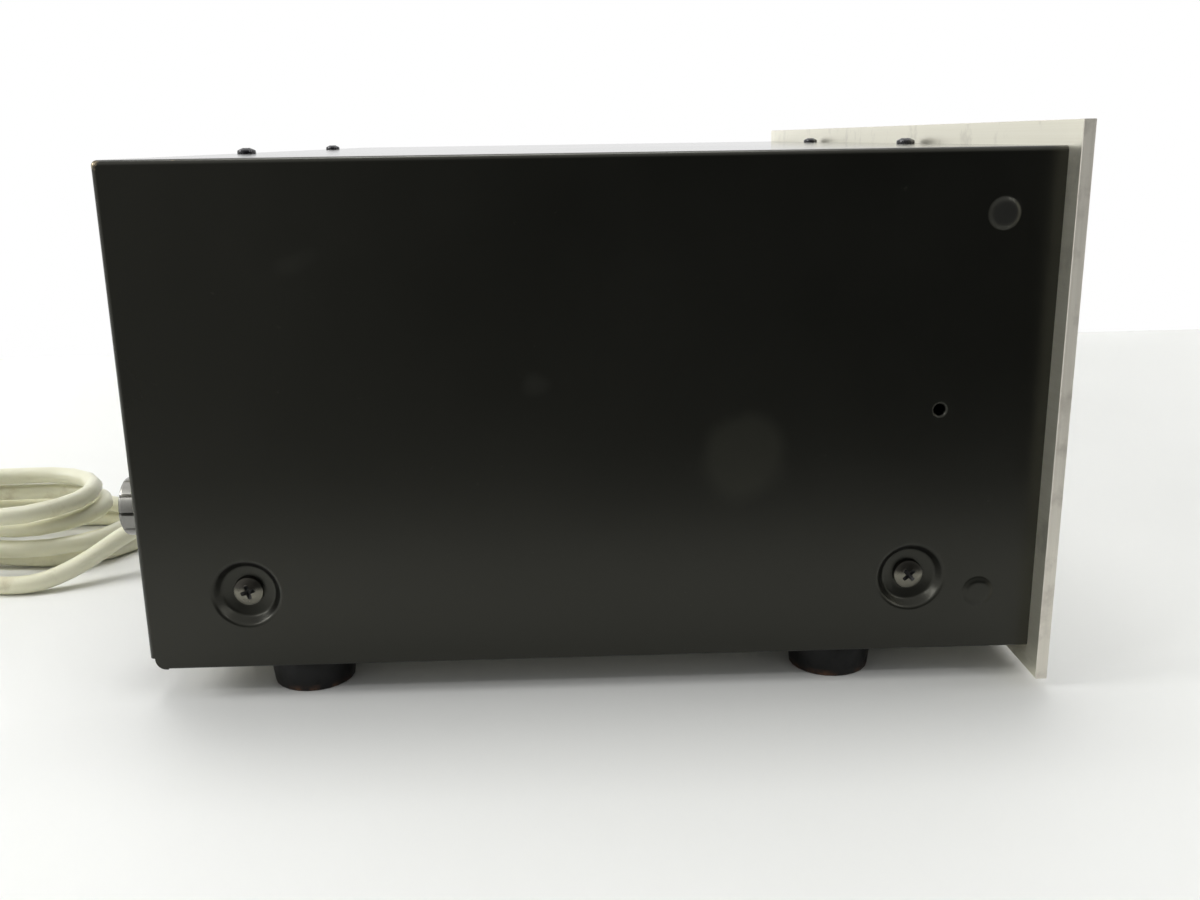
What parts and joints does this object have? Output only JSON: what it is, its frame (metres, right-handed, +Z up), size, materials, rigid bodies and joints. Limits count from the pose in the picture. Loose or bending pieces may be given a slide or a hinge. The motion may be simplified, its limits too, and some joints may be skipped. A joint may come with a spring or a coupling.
{
  "type": "stereo tuner",
  "caption": "Free-standing stereo tuner: folded steel case behind a thick aluminium panel, string-driven dial, meters, lever switches, rear jacks, rod aerial and a mains lead tied in a hank.",
  "frame": {"origin": "on the table, under the middle of the tuner itself without its lead", "axes": "+X to the tuner's right as seen from its front, +Y from the front panel to the rear, +Z up"},
  "size_m": [0.447, 0.5099, 0.1561],
  "materials": {
    "panel_aluminium": "thick natural aluminium plate, fine machined edge, satin face",
    "black_paint": "satin black baked paint on folded steel, fine scratches, bare metal at worn corners",
    "zinc_steel": "zinc-plated sheet steel",
    "black_screw": "blackened steel worn bright on the recess",
    "black_rubber": "dull black rubber with dust",
    "black_plastic": "dark moulded plastic, soft gloss",
    "dial_glass": "clear flat glass",
    "dial_face": "dark dial sheet with plain printed marks",
    "pointer_red": "orange-red pointer",
    "knob_aluminium": "turned aluminium, brushed cap, fluted edge",
    "brass": "turned brass",
    "bright_steel": "nickel-plated steel",
    "white_plastic": "off-white moulded plastic",
    "board": "brown circuit board with pale tracks",
    "winding": "taped transformer winding",
    "laminated_iron": "varnished iron laminations",
    "drive_string": "braided drive string",
    "cream_cord": "cream vinyl lead with dirt marks"
  },
  "bodies": {
    "case": {"front_panel": "panel_aluminium", "bonnet_cover": "black_paint", "chassis_tray": "zinc_steel", "rear_panel": "black_paint", "front_subpanel": "zinc_steel", "foot_front_left": "black_rubber", "foot_front_right": "black_rubber", "foot_rear_left": "black_rubber", "foot_rear_right": "black_rubber", "top_screw_front_left": "black_screw", "top_screw_front_right": "black_screw", "top_screw_rear_left": "black_screw", "top_screw_rear_right": "black_screw", "side_screw_front_left": "black_screw", "side_screw_front_right": "black_screw", "side_screw_rear_left": "black_screw", "side_screw_rear_right": "black_screw", "dial_glass": "dial_glass", "dial_scale": "dial_face", "pointer_rail": "zinc_steel", "dial_lamp_housing": "white_plastic", "signal_meter": "white_plastic", "tuning_meter": "white_plastic", "tuning_bush": "brass", "dial_string": "drive_string", "gang_frame": "zinc_steel", "power_switch": "black_plastic", "lever_switches": "black_plastic", "selector_switch": "zinc_steel", "transformer_core": "laminated_iron", "transformer_coil": "winding", "main_board": "board", "tuner_shield_can": "zinc_steel", "output_level_pot": "zinc_steel", "output_jacks": "black_plastic", "antenna_terminals": "black_plastic", "aerial_bracket": "zinc_steel", "cord_bushing": "black_rubber", "power_cord": "cream_cord", "cord_hank": "cream_cord", "cord_tail": "cream_cord", "cord_tie": "black_plastic", "power_plug": "cream_cord"},
    "tuning_control": {"tuning_knob": "knob_aluminium", "tuning_shaft": "bright_steel", "tuning_flywheel": "brass"},
    "tuning_drive": {"dial_drum": "white_plastic", "gang_rotor": "bright_steel"},
    "pointer_carriage": {"dial_pointer": "pointer_red"},
    "left_pulley": {"guide_pulley_left": "white_plastic"},
    "right_pulley": {"guide_pulley_right": "white_plastic"},
    "selector": {"selector_knob": "knob_aluminium"},
    "power_handle": {"power_lever": "bright_steel"},
    "muting_handle": {"muting_lever": "bright_steel"},
    "mode_handle": {"mode_lever": "bright_steel"},
    "signal_hand": {"signal_needle": "pointer_red"},
    "tuning_hand": {"tuning_needle": "pointer_red"},
    "output_level": {"output_level_knob": "black_plastic"},
    "aerial": {"aerial_rod": "black_plastic"}
  },
  "joints": [
    {"name": "tuning_knob_turn", "type": "hinge", "parent": "case", "child": "tuning_control", "pos_m": [0.158, -0.1039, 0.11565], "axis": [0, 1, 0], "range_deg": [-1180, 1180]},
    {"name": "tuning_drive_turn", "type": "hinge", "parent": "case", "child": "tuning_drive", "pos_m": [0.04, -0.1039, 0.06265], "axis": [0, 1, 0], "range_deg": [-90, 90]},
    {"name": "dial_pointer_slide", "type": "slide", "parent": "case", "child": "pointer_carriage", "axis": [1, 0, 0], "range_m": [-0.07226, 0.07226]},
    {"name": "guide_pulley_left_turn", "type": "hinge", "parent": "case", "child": "left_pulley", "pos_m": [-0.096, -0.1039, 0.13165], "axis": [0, 1, 0], "range_deg": [-830, 830]},
    {"name": "guide_pulley_right_turn", "type": "hinge", "parent": "case", "child": "right_pulley", "pos_m": [0.1, -0.1039, 0.13165], "axis": [0, 1, 0], "range_deg": [-830, 830]},
    {"name": "selector_knob_turn", "type": "hinge", "parent": "case", "child": "selector", "pos_m": [0.158, -0.1345, 0.05165], "axis": [0, 1, 0], "range_deg": [-60, 60]},
    {"name": "power_lever_swing", "type": "hinge", "parent": "case", "child": "power_handle", "pos_m": [-0.185, -0.1185, 0.05165], "axis": [-1, 0, 0], "range_deg": [0, 24]},
    {"name": "muting_lever_swing", "type": "hinge", "parent": "case", "child": "muting_handle", "pos_m": [-0.128, -0.1185, 0.05165], "axis": [-1, 0, 0], "range_deg": [0, 24]},
    {"name": "mode_lever_swing", "type": "hinge", "parent": "case", "child": "mode_handle", "pos_m": [-0.084, -0.1185, 0.05165], "axis": [-1, 0, 0], "range_deg": [0, 24]},
    {"name": "signal_needle_swing", "type": "hinge", "parent": "case", "child": "signal_hand", "pos_m": [-0.163, -0.1169, 0.10405], "axis": [0, 1, 0], "range_deg": [0, 70], "stiffness_Nm_per_rad": 0.0001},
    {"name": "tuning_needle_swing", "type": "hinge", "parent": "case", "child": "tuning_hand", "pos_m": [-0.123, -0.1169, 0.10405], "axis": [0, 1, 0], "range_deg": [-30, 30], "stiffness_Nm_per_rad": 0.0001},
    {"name": "output_level_turn", "type": "hinge", "parent": "case", "child": "output_level", "pos_m": [-0.1875, 0.1305, 0.04965], "axis": [0, 1, 0], "range_deg": [-150, 150]},
    {"name": "aerial_rod_swing", "type": "hinge", "parent": "case", "child": "aerial", "pos_m": [0.186, 0.1436, 0.11765], "axis": [0, 0, -1], "range_deg": [0, 90]}
  ],
  "couplings": [
    {"joint": "tuning_drive_turn", "follows": "tuning_knob_turn", "ratio": 0.076087},
    {"joint": "dial_pointer_slide", "follows": "tuning_knob_turn", "m_per_rad": 0.0035},
    {"joint": "guide_pulley_left_turn", "follows": "tuning_knob_turn", "ratio": 0.7},
    {"joint": "guide_pulley_right_turn", "follows": "tuning_knob_turn", "ratio": 0.7}
  ]
}
